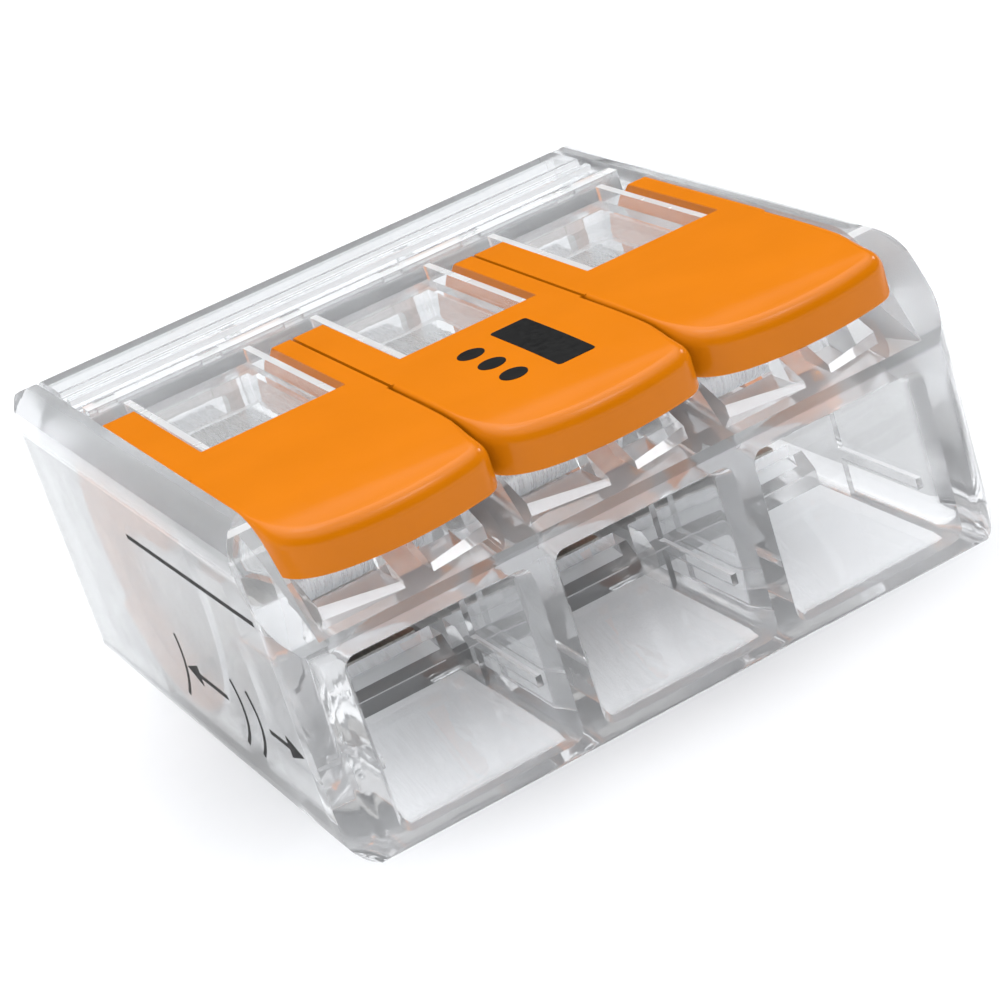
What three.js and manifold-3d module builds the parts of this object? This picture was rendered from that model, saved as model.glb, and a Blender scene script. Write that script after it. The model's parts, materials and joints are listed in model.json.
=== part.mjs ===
// Lever wire connector: splices three conductors side by side.
// A clear housing and rear cover hold one current bar, three clamping springs and three levers.
// Millimetres. +X runs across the poles, the wires enter at -Y, +Z is up, the origin is under the middle.

import * as THREE from "three";
import { mergeVertices } from "three/addons/utils/BufferGeometryUtils.js";
import Module from "manifold-3d";

const wasm = await Module();
wasm.setup();

// Driving dimensions of the whole connector
const POLES = ["left", "middle", "right"];
const PITCH = 5.6;
const SIDE_WALL = 1.0;
const WIDTH = POLES.length * PITCH + 2 * SIDE_WALL;
const DEPTH = 18.6;
const HEIGHT = 8.3;
const FRONT = -DEPTH / 2;
const REAR = DEPTH / 2;
const HALF_WIDTH = WIDTH / 2;

// Housing walls
const FLOOR = 0.6;
const CORNER_RADIUS = 0.95;
const LONG_EDGE_RADIUS = 0.95;
const TOP_REAR_RADIUS = 0.8;
const CAVITY_HALF = HALF_WIDTH - SIDE_WALL;
const FACE_HEIGHT = 5.5;
const SLOPE_TOP_Y = FRONT + 2.05;
const SLOPE_TOP_BLEND = 1.0;
const SLOPE_FOOT_BLEND = 0.5;
const CUT_MARGIN = 0.5;
const BEYOND = 1.0;

// Wire entries
const ENTRY_HALF = 2.25;
const ENTRY_TOP = 4.9;
const ENTRY_RADIUS = 0.4;
const FRONT_BLOCK_REAR = -5.2;

// Bay that the levers lie in
const LIP_TOP = 5.68;
const BAY_STEP_Y = -7.0;
const BAY_STEP_Z = 6.6;
const BAY_FLAT_Y = -6.4;
const BAY_FLOOR_TOP = 6.9;
const BAY_FLOOR_UNDER = 6.35;

// Lever
const LEVER_HALF = 2.7;
const LEVER_TOP = 8.25;
const LEVER_SWING = 90;
const PIVOT = { y: 1.0, z: 5.4 };
const NOSE_FRONT = FRONT + 0.15;
const NOSE_SAG = 0.75;
const NOSE_CORNER = 0.7;
const NOSE_BOTTOM = 6.9;
const NOSE_REAR = -7.3;
const NOSE_TOP = 7.85;
const CROWN_START = -4.5;
const PLATE_UNDER = 7.3;
const WINDOW_FRONT = -1.77;
const WINDOW_UNDERCUT = -2.4;
const WINDOW_LEFT = -1.85;
const WINDOW_RIGHT = 2.2;
const DISC_INNER = 2.1;
const ARM_FRONT = -3.2;
const ARM_KNEE_Y = -1.8;
const ARM_UNDER = 6.3;
const ARM_RADIUS = 3.5;
const HUB_REAR_DEG = 50;
const HUB_TOP = 6.5;
const CAM_RADIUS = 4.35;
const CAM_FRONT_DEG = 246;
const CAM_REAR_DEG = 325;
const NOTCH_RADIUS = 0.55;
const NOTCH_STEPS = 10;

// Window block of the housing, inside the lever's opening
const BLOCK_FRONT = -1.67;
const BLOCK_REAR = 4.2;
const BLOCK_LEFT = -1.7;
const BLOCK_RIGHT = 2.05;
const BLOCK_TOP = 8.0;
const BLOCK_WALL = 0.5;

// Saddles that the cams turn in
const SADDLE_RADIUS = 4.5;
const SADDLE_HALF = PITCH / 2 - DISC_INNER;
const SADDLE_REAR = 3.1;
const SADDLE_REAR_TOP = 5.35;
const SLOT_FRONT = PIVOT.y - SADDLE_RADIUS;

// Clamping spring: a strip with a hook, a contact leg, a bend and a clamping leg
const STRIP = 0.3;
const SPRING_HALF = 1.7;
const HOOK_HALF = 1.05;
const BEND = { y: -3.8, z: 5.1 };
const BEND_RADIUS = 0.8;
const LEG_DEG = -27;
const LEG_SWING = 25;
const LEG_START = 0.15;
const LEG_END = 5.5;
const BEND_END_DEG = 233;
const NARROW_Y = 5.2;
const HOOK_Y = 6.3;
const HOOK_RADIUS = 0.5;
const HOOK_TAIL = 0.6;
const TAB_MIDDLE = 4.6;
const TAB_LENGTH = 0.5;
const TAB_HALF = 2.6;

// Current bar
const BAR_BOTTOM = 0.9;
const BAR_TOP = 1.5;
const TONGUE_FRONT = -2.0;
const BAR_FRONT = 3.4;
const FRAME_FRONT = 5.7;
const FRAME_REAR = 6.2;
const FRAME_TOP = 6.9;
const FRAME_HALF = 1.75;
const WIRE_WINDOW_HALF = 1.2;
const WIRE_WINDOW_TOP = 4.3;
const HOOK_WINDOW = { half: 1.35, bottom: 5.4, top: 6.4 };

// Rear cover
const COVER_GAP = 0.15;
const COVER_FRONT = 4.4;
const COVER_SKIN_UNDER = 7.75;
const COVER_WALL_FRONT = 8.4;
const COVER_BOTTOM = 0.8;
const COVER_RIB_FRONT = 6.7;
const COVER_RIB_HALF = 0.3;

const CURVE_SEGMENTS = 6;
const radians = THREE.MathUtils.degToRad;
const poleX = (index) => (index - (POLES.length - 1) / 2) * PITCH;

// A shape drawn in (Y, Z) is extruded along X, and one drawn in (X, Z) is extruded along -Y.
const PROFILE_BASIS = new THREE.Matrix4().makeBasis(
  new THREE.Vector3(0, 1, 0), new THREE.Vector3(0, 0, 1), new THREE.Vector3(1, 0, 0));
const FACE_BASIS = new THREE.Matrix4().makeBasis(
  new THREE.Vector3(1, 0, 0), new THREE.Vector3(0, 0, 1), new THREE.Vector3(0, -1, 0));

function solid(geometry) {
  geometry.deleteAttribute("normal");
  geometry.deleteAttribute("uv");
  const merged = mergeVertices(geometry, 1e-5);
  return new wasm.Manifold(new wasm.Mesh({
    numProp: 3,
    vertProperties: Float32Array.from(merged.attributes.position.array),
    triVerts: Uint32Array.from(merged.index.array),
  }));
}

function extrude(shape, depth) {
  return new THREE.ExtrudeGeometry(shape, { depth, bevelEnabled: false, curveSegments: CURVE_SEGMENTS });
}

function profileSolid(shape, fromX, toX) {
  const geometry = extrude(shape, toX - fromX).applyMatrix4(PROFILE_BASIS);
  return solid(geometry.translate(fromX, 0, 0));
}

function planSolid(shape, fromZ, toZ) {
  return solid(extrude(shape, toZ - fromZ).translate(0, 0, fromZ));
}

function faceSolid(shape, fromY, toY) {
  const geometry = extrude(shape, toY - fromY).applyMatrix4(FACE_BASIS);
  return solid(geometry.translate(0, toY, 0));
}

function box(x0, x1, y0, y1, z0, z1) {
  const geometry = new THREE.BoxGeometry(x1 - x0, y1 - y0, z1 - z0);
  return solid(geometry.translate((x0 + x1) / 2, (y0 + y1) / 2, (z0 + z1) / 2));
}

function polygon(points) {
  return new THREE.Shape(points.map(([u, v]) => new THREE.Vector2(u, v)));
}

function roundedRectangle(u0, u1, v0, v1, radius) {
  const shape = new THREE.Shape();
  shape.absarc(u1 - radius, v1 - radius, radius, 0, Math.PI / 2);
  shape.absarc(u0 + radius, v1 - radius, radius, Math.PI / 2, Math.PI);
  shape.absarc(u0 + radius, v0 + radius, radius, Math.PI, 1.5 * Math.PI);
  shape.absarc(u1 - radius, v0 + radius, radius, 1.5 * Math.PI, 2 * Math.PI);
  shape.closePath();
  return shape;
}

function mesh(name, manifold, material) {
  const { vertProperties, triVerts } = manifold.getMesh();
  const geometry = new THREE.BufferGeometry();
  geometry.setAttribute("position", new THREE.BufferAttribute(Float32Array.from(vertProperties), 3));
  geometry.setIndex(new THREE.BufferAttribute(Uint32Array.from(triVerts), 1));
  geometry.computeVertexNormals();
  const result = new THREE.Mesh(geometry, material);
  result.name = name;
  return result;
}

// Side outline of the shell: upright face, slope up to the flat top, rounded top rear edge.
function shellOutline() {
  const slope = new THREE.Vector2(SLOPE_TOP_Y - FRONT, HEIGHT - FACE_HEIGHT).normalize();
  const shape = new THREE.Shape();
  shape.moveTo(FRONT, 0);
  shape.lineTo(REAR, 0);
  shape.lineTo(REAR, HEIGHT - TOP_REAR_RADIUS);
  shape.absarc(REAR - TOP_REAR_RADIUS, HEIGHT - TOP_REAR_RADIUS, TOP_REAR_RADIUS, 0, Math.PI / 2);
  shape.lineTo(SLOPE_TOP_Y + SLOPE_TOP_BLEND, HEIGHT);
  shape.quadraticCurveTo(SLOPE_TOP_Y, HEIGHT,
    SLOPE_TOP_Y - slope.x * SLOPE_TOP_BLEND, HEIGHT - slope.y * SLOPE_TOP_BLEND);
  shape.lineTo(FRONT + slope.x * SLOPE_FOOT_BLEND, FACE_HEIGHT + slope.y * SLOPE_FOOT_BLEND);
  shape.quadraticCurveTo(FRONT, FACE_HEIGHT, FRONT, FACE_HEIGHT - SLOPE_FOOT_BLEND);
  shape.closePath();
  return shape;
}

function shellBlank() {
  const plan = roundedRectangle(-HALF_WIDTH, HALF_WIDTH, FRONT, REAR, CORNER_RADIUS);
  const section = roundedRectangle(-HALF_WIDTH, HALF_WIDTH, 0, HEIGHT, LONG_EDGE_RADIUS);
  return profileSolid(shellOutline(), -HALF_WIDTH, HALF_WIDTH)
    .intersect(planSolid(plan, 0, HEIGHT)).intersect(faceSolid(section, FRONT, REAR));
}

function leverBay() {
  const above = HEIGHT + CUT_MARGIN;
  const outline = polygon([
    [FRONT - CUT_MARGIN, LIP_TOP], [FRONT, LIP_TOP], [BAY_STEP_Y, BAY_STEP_Z], [BAY_FLAT_Y, BAY_FLOOR_TOP],
    [SLOT_FRONT + CUT_MARGIN, BAY_FLOOR_TOP], [SLOT_FRONT + CUT_MARGIN, above], [FRONT - CUT_MARGIN, above],
  ]);
  return profileSolid(outline, -CAVITY_HALF, CAVITY_HALF);
}

function cavity() {
  const under = box(-CAVITY_HALF, CAVITY_HALF, FRONT_BLOCK_REAR, REAR + CUT_MARGIN, FLOOR, BAY_FLOOR_UNDER);
  const behind = box(-CAVITY_HALF, CAVITY_HALF, SLOT_FRONT, REAR + CUT_MARGIN, FLOOR, HEIGHT + CUT_MARGIN);
  return under.add(behind);
}

// Webs from the front block rearwards. Their tops are hollowed into saddles for the cams.
function saddleWebs() {
  const cam = new THREE.Shape().absarc(PIVOT.y, PIVOT.z, SADDLE_RADIUS, 0, 2 * Math.PI);
  const outline = polygon([
    [FRONT_BLOCK_REAR, FLOOR], [SADDLE_REAR, FLOOR], [SADDLE_REAR, SADDLE_REAR_TOP],
    [SLOT_FRONT, BAY_FLOOR_UNDER], [FRONT_BLOCK_REAR, BAY_FLOOR_UNDER],
  ]);
  const web = (fromX, toX) => profileSolid(outline, fromX, toX)
    .subtract(profileSolid(cam, fromX - CUT_MARGIN, toX + CUT_MARGIN));
  let webs = web(-CAVITY_HALF, -CAVITY_HALF + SADDLE_HALF).add(web(CAVITY_HALF - SADDLE_HALF, CAVITY_HALF));
  for (let index = 0; index + 1 < POLES.length; index += 1) {
    const middle = poleX(index) + PITCH / 2;
    webs = webs.add(web(middle - SADDLE_HALF, middle + SADDLE_HALF));
  }
  return webs;
}

function windowBlock(x) {
  const left = x + BLOCK_LEFT;
  const right = x + BLOCK_RIGHT;
  const roof = box(left, right, SLOT_FRONT - CUT_MARGIN, BLOCK_REAR, BAY_FLOOR_UNDER, BAY_FLOOR_TOP);
  const block = box(left, right, BLOCK_FRONT, BLOCK_REAR, BAY_FLOOR_UNDER, BLOCK_TOP);
  const hollow = box(left + BLOCK_WALL, right - BLOCK_WALL, BLOCK_FRONT + BLOCK_WALL,
    BLOCK_REAR - BLOCK_WALL, BAY_FLOOR_UNDER - CUT_MARGIN, BLOCK_TOP - BLOCK_WALL);
  return roof.add(block).subtract(hollow);
}

function wireEntry(x) {
  const outline = roundedRectangle(x - ENTRY_HALF, x + ENTRY_HALF, FLOOR, ENTRY_TOP, ENTRY_RADIUS);
  return faceSolid(outline, FRONT - CUT_MARGIN, FRONT_BLOCK_REAR + CUT_MARGIN);
}

function housing() {
  let body = shellBlank().subtract(leverBay()).subtract(cavity()).add(saddleWebs());
  POLES.forEach((name, index) => {
    body = body.add(windowBlock(poleX(index))).subtract(wireEntry(poleX(index)));
  });
  return body;
}

function rearCover() {
  const half = CAVITY_HALF - COVER_GAP;
  const zone = box(-half, half, COVER_FRONT, REAR + CUT_MARGIN, COVER_BOTTOM, HEIGHT + CUT_MARGIN);
  const inside = box(-half - BEYOND, half + BEYOND, COVER_FRONT - BEYOND, COVER_WALL_FRONT, 0, COVER_SKIN_UNDER);
  let cover = shellBlank().intersect(zone).subtract(inside);
  for (let index = 0; index + 1 < POLES.length; index += 1) {
    const middle = poleX(index) + PITCH / 2;
    cover = cover.add(box(middle - COVER_RIB_HALF, middle + COVER_RIB_HALF,
      COVER_RIB_FRONT, COVER_WALL_FRONT + CUT_MARGIN, COVER_BOTTOM, COVER_SKIN_UNDER + CUT_MARGIN / 2));
  }
  return cover;
}

function currentBar() {
  const half = poleX(POLES.length - 1) + FRAME_HALF;
  let bar = box(-half, half, BAR_FRONT, FRAME_REAR, BAR_BOTTOM, BAR_TOP);
  POLES.forEach((name, index) => {
    const x = poleX(index);
    const tongue = box(x - FRAME_HALF, x + FRAME_HALF, TONGUE_FRONT, BAR_FRONT + CUT_MARGIN, BAR_BOTTOM, BAR_TOP);
    const frame = box(x - FRAME_HALF, x + FRAME_HALF, FRAME_FRONT, FRAME_REAR, BAR_BOTTOM, FRAME_TOP);
    const wireWindow = box(x - WIRE_WINDOW_HALF, x + WIRE_WINDOW_HALF,
      FRAME_FRONT - CUT_MARGIN, FRAME_REAR + CUT_MARGIN, BAR_TOP, WIRE_WINDOW_TOP);
    const hookWindow = box(x - HOOK_WINDOW.half, x + HOOK_WINDOW.half,
      FRAME_FRONT - CUT_MARGIN, FRAME_REAR + CUT_MARGIN, HOOK_WINDOW.bottom, HOOK_WINDOW.top);
    bar = bar.add(tongue).add(frame.subtract(wireWindow).subtract(hookWindow));
  });
  return bar;
}

// Fixed part of a spring: hook, contact leg and bend, drawn for a pole at x = 0.
function clampSpring() {
  const outer = BEND_RADIUS + STRIP / 2;
  const inner = BEND_RADIUS - STRIP / 2;
  const hookZ = BEND.z + BEND_RADIUS - HOOK_RADIUS;
  const hookOuter = HOOK_RADIUS + STRIP / 2;
  const hookInner = HOOK_RADIUS - STRIP / 2;
  const shape = new THREE.Shape();
  shape.absarc(HOOK_Y, hookZ, hookOuter, 0, Math.PI / 2);
  shape.absarc(BEND.y, BEND.z, outer, Math.PI / 2, radians(BEND_END_DEG));
  shape.absarc(BEND.y, BEND.z, inner, radians(BEND_END_DEG), Math.PI / 2, true);
  shape.absarc(HOOK_Y, hookZ, hookInner, Math.PI / 2, 0, true);
  shape.lineTo(HOOK_Y + hookInner, hookZ - HOOK_TAIL);
  shape.lineTo(HOOK_Y + hookOuter, hookZ - HOOK_TAIL);
  shape.closePath();
  const far = HOOK_Y + hookOuter + CUT_MARGIN;
  const wide = box(-SPRING_HALF, SPRING_HALF, BEND.y - outer - BEYOND, NARROW_Y, 0, HEIGHT);
  const narrow = box(-HOOK_HALF, HOOK_HALF, NARROW_Y - CUT_MARGIN, far, 0, HEIGHT);
  return profileSolid(shape, -SPRING_HALF, SPRING_HALF).intersect(wide.add(narrow));
}

// A point on the clamping leg: how far along it, and how far out from the middle of the strip.
function legPoint(along, out, liftDeg = 0) {
  const angle = radians(LEG_DEG + liftDeg);
  const reach = BEND_RADIUS + out;
  return new THREE.Vector2(
    BEND.y + reach * Math.sin(angle) + along * Math.cos(angle),
    BEND.z - reach * Math.cos(angle) + along * Math.sin(angle));
}

function clampLeg() {
  const strip = (from, to) => new THREE.Shape([
    legPoint(from, -STRIP / 2), legPoint(from, STRIP / 2), legPoint(to, STRIP / 2), legPoint(to, -STRIP / 2)]);
  const leg = profileSolid(strip(LEG_START, LEG_END), -SPRING_HALF, SPRING_HALF);
  const tab = strip(TAB_MIDDLE - TAB_LENGTH / 2, TAB_MIDDLE + TAB_LENGTH / 2);
  return leg.add(profileSolid(tab, -TAB_HALF, TAB_HALF));
}

// The spring's tab seen from the lever as the lever opens: this is the middle of the lever's notch.
function notchPath() {
  const pivot = new THREE.Vector2(PIVOT.y, PIVOT.z);
  return Array.from({ length: NOTCH_STEPS + 1 }, (unused, step) => {
    const part = step / NOTCH_STEPS;
    return legPoint(TAB_MIDDLE, 0, part * LEG_SWING).rotateAround(pivot, radians(part * LEVER_SWING));
  });
}

function notchSolid(fromX, toX) {
  const path = notchPath();
  const side = (sign) => path.map((point, step) => {
    const before = path[Math.max(step - 1, 0)];
    const after = path[Math.min(step + 1, NOTCH_STEPS)];
    const normal = after.clone().sub(before).normalize().rotateAround(new THREE.Vector2(), Math.PI / 2);
    return point.clone().addScaledVector(normal, sign * NOTCH_RADIUS);
  });
  const shape = new THREE.Shape([...side(-1), ...side(1).reverse()]);
  const round = (point) => profileSolid(
    new THREE.Shape().absarc(point.x, point.y, NOTCH_RADIUS, 0, 2 * Math.PI), fromX, toX);
  return profileSolid(shape, fromX, toX).add(round(path[0])).add(round(path[NOTCH_STEPS]));
}

// The cam: the part of the lever's side that turns in the saddle and carries the spring's tab.
function camSolid(fromX, toX) {
  const shape = new THREE.Shape();
  shape.absarc(PIVOT.y, PIVOT.z, CAM_RADIUS, radians(CAM_FRONT_DEG), radians(CAM_REAR_DEG));
  shape.absarc(PIVOT.y, PIVOT.z, ARM_RADIUS, radians(CAM_REAR_DEG - 360), radians(HUB_REAR_DEG));
  shape.lineTo(PIVOT.y, HUB_TOP);
  notchPath().reverse().forEach((point) => shape.lineTo(point.x, point.y));
  shape.closePath();
  return profileSolid(shape, fromX, toX).subtract(notchSolid(fromX - CUT_MARGIN, toX + CUT_MARGIN));
}

function armSolid(fromX, toX) {
  const shape = new THREE.Shape();
  const topDeg = THREE.MathUtils.radToDeg(Math.asin((LEVER_TOP - PIVOT.z) / ARM_RADIUS));
  const underDeg = THREE.MathUtils.radToDeg(Math.asin((ARM_UNDER - PIVOT.z) / ARM_RADIUS));
  shape.absarc(PIVOT.y, PIVOT.z, ARM_RADIUS, radians(underDeg), radians(topDeg));
  shape.lineTo(ARM_FRONT, LEVER_TOP);
  shape.lineTo(ARM_FRONT, PLATE_UNDER);
  shape.lineTo(ARM_KNEE_Y, ARM_UNDER);
  shape.closePath();
  return profileSolid(shape, fromX, toX);
}

// Finger plate in plan: straight sides, rounded corners and a bowed front edge.
function platePlan() {
  const bow = (LEVER_HALF ** 2 + NOSE_SAG ** 2) / (2 * NOSE_SAG);
  const spread = Math.asin((LEVER_HALF - NOSE_CORNER) / bow);
  const shape = new THREE.Shape();
  const side = NOSE_FRONT + NOSE_SAG + NOSE_CORNER;
  shape.moveTo(LEVER_HALF, WINDOW_FRONT + CUT_MARGIN);
  shape.lineTo(-LEVER_HALF, WINDOW_FRONT + CUT_MARGIN);
  shape.lineTo(-LEVER_HALF, side);
  shape.quadraticCurveTo(-LEVER_HALF, NOSE_FRONT + NOSE_SAG,
    -bow * Math.sin(spread), NOSE_FRONT + bow * (1 - Math.cos(spread)));
  shape.absarc(0, NOSE_FRONT + bow, bow, 1.5 * Math.PI - spread, 1.5 * Math.PI + spread);
  shape.quadraticCurveTo(LEVER_HALF, NOSE_FRONT + NOSE_SAG, LEVER_HALF, side);
  shape.closePath();
  return shape;
}

// Side outline of the finger plate, whose top falls away towards the nose.
function crownSolid() {
  const shape = new THREE.Shape();
  shape.moveTo(PIVOT.y, NOSE_BOTTOM);
  shape.lineTo(PIVOT.y, LEVER_TOP);
  shape.lineTo(CROWN_START, LEVER_TOP);
  shape.quadraticCurveTo((CROWN_START + NOSE_FRONT) / 2, LEVER_TOP, NOSE_FRONT - BEYOND, NOSE_TOP);
  shape.lineTo(NOSE_FRONT - BEYOND, NOSE_BOTTOM);
  shape.closePath();
  return profileSolid(shape, -LEVER_HALF - BEYOND, LEVER_HALF + BEYOND);
}

function lever() {
  const thick = planSolid(platePlan(), NOSE_BOTTOM, LEVER_TOP).intersect(crownSolid());
  const underside = box(-LEVER_HALF - BEYOND, LEVER_HALF + BEYOND,
    NOSE_REAR, PIVOT.y, NOSE_BOTTOM - BEYOND, PLATE_UNDER);
  const above = LEVER_TOP + CUT_MARGIN;
  const openingRear = PIVOT.y + ARM_RADIUS + BEYOND;
  const opening = polygon([
    [WINDOW_UNDERCUT, ARM_UNDER - BEYOND], [openingRear, ARM_UNDER - BEYOND], [openingRear, above],
    [WINDOW_FRONT, above], [WINDOW_FRONT, LEVER_TOP], [WINDOW_UNDERCUT, PLATE_UNDER],
  ]);
  return thick.subtract(underside)
    .add(armSolid(-LEVER_HALF, WINDOW_LEFT)).add(camSolid(-LEVER_HALF, -DISC_INNER))
    .add(armSolid(WINDOW_RIGHT, LEVER_HALF)).add(camSolid(WINDOW_RIGHT, LEVER_HALF))
    .subtract(profileSolid(opening, WINDOW_LEFT, WINDOW_RIGHT));
}

const clear = new THREE.MeshStandardMaterial({ color: 0xdfe3e6, roughness: 0.08, metalness: 0 });
const clearRear = new THREE.MeshStandardMaterial({ color: 0xd6dbdf, roughness: 0.12, metalness: 0 });
const orange = new THREE.MeshStandardMaterial({ color: 0xf38c0c, roughness: 0.35, metalness: 0 });
const tinnedCopper = new THREE.MeshStandardMaterial({ color: 0xb9b6b0, roughness: 0.35, metalness: 1 });
const springSteel = new THREE.MeshStandardMaterial({ color: 0xa9abae, roughness: 0.28, metalness: 1 });

const connector = new THREE.Group();
connector.add(mesh("housing", housing(), clear));
connector.add(mesh("rear_cover", rearCover(), clearRear));
connector.add(mesh("current_bar", currentBar(), tinnedCopper));
POLES.forEach((name, index) => {
  const pole = new THREE.Group();
  pole.position.x = poleX(index);
  pole.add(mesh(`clamp_spring_${name}`, clampSpring(), springSteel));
  pole.add(mesh(`clamp_leg_${name}`, clampLeg(), springSteel));
  pole.add(mesh(`lever_${name}`, lever(), orange));
  connector.add(pole);
});

export default connector;
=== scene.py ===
"""Looks of the lever wire connector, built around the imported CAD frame.

Shapes are drawn in millimetres in the row frame and turned into metres when a piece is finished.
"""

import json
import math

import bmesh
import bpy
from mathutils import Matrix, Vector

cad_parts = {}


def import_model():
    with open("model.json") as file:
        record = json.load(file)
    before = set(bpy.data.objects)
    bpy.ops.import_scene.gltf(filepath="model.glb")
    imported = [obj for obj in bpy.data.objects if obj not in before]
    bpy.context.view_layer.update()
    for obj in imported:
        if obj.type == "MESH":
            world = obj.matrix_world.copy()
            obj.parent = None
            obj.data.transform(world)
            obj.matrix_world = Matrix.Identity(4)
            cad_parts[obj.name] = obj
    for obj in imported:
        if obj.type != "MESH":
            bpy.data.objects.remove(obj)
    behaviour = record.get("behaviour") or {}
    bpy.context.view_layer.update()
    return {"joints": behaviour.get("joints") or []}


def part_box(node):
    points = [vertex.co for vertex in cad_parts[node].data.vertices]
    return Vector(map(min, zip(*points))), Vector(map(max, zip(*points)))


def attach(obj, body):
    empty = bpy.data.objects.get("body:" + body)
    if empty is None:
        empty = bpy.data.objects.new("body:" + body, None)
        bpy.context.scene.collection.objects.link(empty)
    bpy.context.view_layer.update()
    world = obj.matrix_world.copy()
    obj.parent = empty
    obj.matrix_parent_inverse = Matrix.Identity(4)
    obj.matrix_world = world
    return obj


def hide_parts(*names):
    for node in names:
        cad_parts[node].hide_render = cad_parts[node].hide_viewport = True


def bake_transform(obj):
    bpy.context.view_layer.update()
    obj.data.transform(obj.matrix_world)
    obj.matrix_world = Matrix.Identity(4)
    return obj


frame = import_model()

MM = 0.001
POLES = ("left", "middle", "right")
JOINTS = {joint["name"]: joint for joint in frame["joints"]}


def joint_mm(name):
    return Vector(JOINTS[name]["pos_m"]) / MM


def box_mm(node):
    low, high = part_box(node)
    return Vector(low) / MM, Vector(high) / MM


POLE_X = {pole: joint_mm(f"{pole}_lever_hinge").x for pole in POLES}
PIVOT = joint_mm("middle_lever_hinge")
BEND = joint_mm("middle_clamp_flex")
PITCH = POLE_X["right"] - POLE_X["middle"]
SHELL_LOW, SHELL_HIGH = box_mm("housing")
HALF_WIDTH, FRONT, REAR, HEIGHT = SHELL_HIGH.x, SHELL_LOW.y, SHELL_HIGH.y, SHELL_HIGH.z
LEVER_LOW, LEVER_HIGH = box_mm("lever_middle")
COVER_LOW, COVER_HIGH = box_mm("rear_cover")
BAR_LOW, BAR_HIGH = box_mm("current_bar")

# Shell
SIDE_WALL = HALF_WIDTH - 1.5 * PITCH
CAVITY_HALF = HALF_WIDTH - SIDE_WALL
EDGE_RADIUS = 0.95
REAR_RADIUS = 1.15
FLOOR = 0.6
FACE_HEIGHT = 5.5
SLOPE_TOP_Y = FRONT + 2.05
FRONT_BLOCK_REAR = -5.2
LIP_TOP = 5.68
ENTRY_HALF = 2.25
ENTRY_TOP = 4.9
BAY_FLOOR = 6.9
BAY_UNDER = 6.35
CHANNEL_HALF = 2.1
SADDLE = {"radius": 4.5, "rear": 3.1, "rear_top": 5.35}
SLOT_FRONT = -3.5
BLOCK = {"front": -1.67, "rear": 4.36, "left": -1.7, "right": 2.05, "top": 8.12}
RIM_WIDTH = 0.2
COVER_STEP = 0.24

# Lever
LEVER_HALF = 2.755
LEVER_TOP = LEVER_HIGH.z
NOSE_FRONT = LEVER_LOW.y
NOSE_BOTTOM = 6.9
PLATE_UNDER = 7.3
WINDOW = {"front": -1.77, "undercut": -2.4, "left": -1.85, "right": 2.2}
ARM_RADIUS = 3.5
ARM_UNDER = 6.3
CAM_RADIUS = 4.35
NOTCH_RADIUS = 0.55
OPEN_DEG = 90

# Spring
STRIP = 0.3
BEND_RADIUS = 0.8
LEG_DEG = -27
LEG_SWING = 25
LEG_END = 5.5
TAB_MIDDLE = 4.6

# Room that tools reach past what they cut, and that joined solids share
BEYOND = 1.0
OVERLAP = 0.1


# ---------------------------------------------------------------- mesh helpers

def arc(u, v, radius, start, end, steps=8):
    """Points on an arc, angles in degrees."""
    angles = [math.radians(start + (end - start) * i / steps) for i in range(steps + 1)]
    return [(u + radius * math.cos(a), v + radius * math.sin(a)) for a in angles]


def circle(u, v, radius, count):
    """Points all the way round, without the first one again at the end."""
    return arc(u, v, radius, 0, 360 - 360 / count, count - 1)


def curve(a, control, b, steps=8):
    """Points on a quadratic curve from a to b."""
    points = []
    for i in range(steps + 1):
        t = i / steps
        weights = ((1 - t) ** 2, 2 * t * (1 - t), t ** 2)
        points.append(tuple(sum(w * p[k] for w, p in zip(weights, (a, control, b))) for k in (0, 1)))
    return points


def both_sides(path, half):
    """Points to the left and to the right of a path of 2D vectors, at an even distance from it."""
    left, right = [], []
    for i, point in enumerate(path):
        along = (path[min(i + 1, len(path) - 1)] - path[max(i - 1, 0)]).normalized()
        across = Vector((-along.y, along.x)) * half
        left.append(tuple(point + across))
        right.append(tuple(point - across))
    return left, right


def rounded_rectangle(u0, u1, v0, v1, radius, steps=8):
    return (arc(u1 - radius, v1 - radius, radius, 0, 90, steps)
            + arc(u0 + radius, v1 - radius, radius, 90, 180, steps)
            + arc(u0 + radius, v0 + radius, radius, 180, 270, steps)
            + arc(u1 - radius, v0 + radius, radius, 270, 360, steps))


PLACES = {
    "x": lambda u, v, w: (w, u, v),
    "y": lambda u, v, w: (u, w, v),
    "z": lambda u, v, w: (u, v, w),
}


def add_object(name, bm):
    bmesh.ops.remove_doubles(bm, verts=bm.verts, dist=1e-5)
    bmesh.ops.recalc_face_normals(bm, faces=bm.faces)
    mesh = bpy.data.meshes.new(name)
    bm.to_mesh(mesh)
    bm.free()
    obj = bpy.data.objects.new(name, mesh)
    bpy.context.scene.collection.objects.link(obj)
    return obj


def loft(name, outlines, axis):
    """A closed solid through outlines given as (height along the axis, points)."""
    place = PLACES[axis]
    bm = bmesh.new()
    rings = [[bm.verts.new(place(u, v, w)) for u, v in points] for w, points in outlines]
    for ring in (rings[0], rings[-1]):
        bm.faces.new(ring)
    for low, high in zip(rings, rings[1:]):
        for i in range(len(low)):
            j = (i + 1) % len(low)
            bm.faces.new((low[i], low[j], high[j], high[i]))
    return add_object(name, bm)


def prism(outline, axis, low, high, name="tool"):
    return loft(name, [(low, outline), (high, outline)], axis)


def block(x0, x1, y0, y1, z0, z1):
    return prism([(x0, y0), (x1, y0), (x1, y1), (x0, y1)], "z", z0, z1)


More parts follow.
